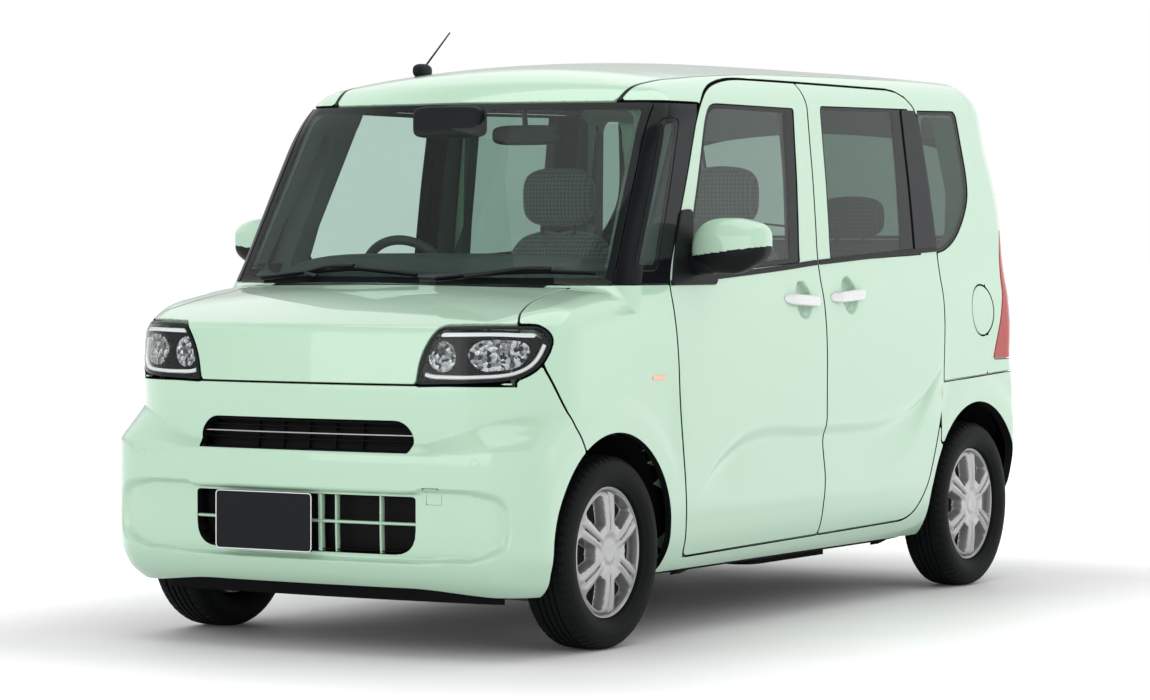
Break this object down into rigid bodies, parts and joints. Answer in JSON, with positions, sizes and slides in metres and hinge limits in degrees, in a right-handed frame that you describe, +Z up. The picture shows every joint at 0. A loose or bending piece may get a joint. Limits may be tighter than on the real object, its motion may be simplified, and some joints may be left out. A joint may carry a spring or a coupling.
{
  "type": "kei car",
  "caption": "small tall-cabin kei car with opening front doors, bonnet, tailgate and fuel lid, steering and rolling wheels, upright boxy body",
  "frame": {"origin": "on the ground under the middle of the car's bounding box", "axes": "+Y to the rear, +X to the car's left side, +Z up; the car faces -Y"},
  "size_m": [1.88, 3.395, 1.8593],
  "materials": {
    "body_paint": "glossy mint green paint",
    "clear_glass": "lightly tinted",
    "dark_glass": "privacy tint",
    "lamp_glass": "clear lens over chrome",
    "red_lamp": "red lens",
    "black_plastic": "black moulded plastic",
    "plate": "blank plate",
    "dark_metal": "coated steel",
    "cabin_plastic": "grained dark plastic",
    "seat_cloth": "grey green woven cloth",
    "tyre": "black rubber",
    "wheel_silver": "silver painted wheel cover"
  },
  "bodies": {
    "root": {"body_shell": "body_paint", "floor_pan": "dark_metal", "tail_floor": "dark_metal", "firewall": "dark_metal", "front_pillars": "body_paint", "engine_bay": "body_paint", "roof_panel": "body_paint", "front_fenders": "body_paint", "front_bumper": "body_paint", "rear_bumper": "body_paint", "sliding_doors": "body_paint", "windscreen": "clear_glass", "fixed_side_glass": "clear_glass", "sliding_door_glass": "dark_glass", "headlamps": "lamp_glass", "tail_lamps": "red_lamp", "upper_grille": "black_plastic", "lower_grille": "black_plastic", "front_plate": "plate", "wipers": "black_plastic", "antenna": "black_plastic", "front_subframe": "dark_metal", "rear_axle_beam": "dark_metal", "engine_block": "dark_metal", "fuel_tank": "dark_metal", "exhaust": "dark_metal", "dashboard": "cabin_plastic", "front_seats": "seat_cloth", "rear_seat": "seat_cloth"},
    "door_left": {"front_door_left": "body_paint", "front_glass_left": "clear_glass", "mirror_left": "body_paint"},
    "door_right": {"front_door_right": "body_paint", "front_glass_right": "clear_glass", "mirror_right": "body_paint"},
    "bonnet_lid": {"bonnet": "body_paint"},
    "tail_lid": {"tailgate": "body_paint", "tailgate_glass": "dark_glass", "rear_plate": "plate"},
    "fuel_flap": {"fuel_lid": "body_paint"},
    "steer_left": {"knuckle_left": "dark_metal"},
    "steer_right": {"knuckle_right": "dark_metal"},
    "hand_wheel": {"steering_wheel": "cabin_plastic"},
    "wheel_fl": {"tyre_front_left": "tyre", "wheel_front_left": "wheel_silver"},
    "wheel_fr": {"tyre_front_right": "tyre", "wheel_front_right": "wheel_silver"},
    "wheel_rl": {"tyre_rear_left": "tyre", "wheel_rear_left": "wheel_silver"},
    "wheel_rr": {"tyre_rear_right": "tyre", "wheel_rear_right": "wheel_silver"}
  },
  "joints": [
    {"name": "door_left_hinge", "type": "hinge", "parent": "root", "child": "door_left", "pos_m": [0.737, -0.808, 0.65], "axis": [0, 0, -1], "range_deg": [0, 65]},
    {"name": "door_right_hinge", "type": "hinge", "parent": "root", "child": "door_right", "pos_m": [-0.737, -0.808, 0.65], "axis": [0, 0, 1], "range_deg": [0, 65]},
    {"name": "bonnet_hinge", "type": "hinge", "parent": "root", "child": "bonnet_lid", "pos_m": [0, -1.148, 1.052], "axis": [-1, 0, 0], "range_deg": [0, 45]},
    {"name": "tailgate_hinge", "type": "hinge", "parent": "root", "child": "tail_lid", "pos_m": [0, 1.45, 1.745], "axis": [1, 0, 0], "range_deg": [0, 80]},
    {"name": "fuel_lid_hinge", "type": "hinge", "parent": "root", "child": "fuel_flap", "pos_m": [0.7345, 1.2755, 0.938], "axis": [0, 0, -1], "range_deg": [0, 100]},
    {"name": "steer_left_pin", "type": "hinge", "parent": "root", "child": "steer_left", "pos_m": [0.548, -1.15, 0.2785], "axis": [0, 0, 1], "range_deg": [-32, 32]},
    {"name": "steer_right_pin", "type": "hinge", "parent": "root", "child": "steer_right", "pos_m": [-0.548, -1.15, 0.2785], "axis": [0, 0, 1], "range_deg": [-32, 32]},
    {"name": "hand_wheel_turn", "type": "hinge", "parent": "root", "child": "hand_wheel", "pos_m": [-0.33, -0.59, 1.015], "axis": [0, 0.9135, 0.4067], "range_deg": [-480, 480]},
    {"name": "wheel_fl_spin", "type": "hinge", "parent": "steer_left", "child": "wheel_fl", "pos_m": [0.65, -1.15, 0.2785], "axis": [1, 0, 0], "continuous": true},
    {"name": "wheel_fr_spin", "type": "hinge", "parent": "steer_right", "child": "wheel_fr", "pos_m": [-0.65, -1.15, 0.2785], "axis": [1, 0, 0], "continuous": true},
    {"name": "wheel_rl_spin", "type": "hinge", "parent": "root", "child": "wheel_rl", "pos_m": [0.65, 1.31, 0.2785], "axis": [1, 0, 0], "continuous": true},
    {"name": "wheel_rr_spin", "type": "hinge", "parent": "root", "child": "wheel_rr", "pos_m": [-0.65, 1.31, 0.2785], "axis": [1, 0, 0], "continuous": true}
  ],
  "couplings": [
    {"joint": "steer_right_pin", "follows": "steer_left_pin", "ratio": 1},
    {"joint": "hand_wheel_turn", "follows": "steer_left_pin", "ratio": 15}
  ]
}
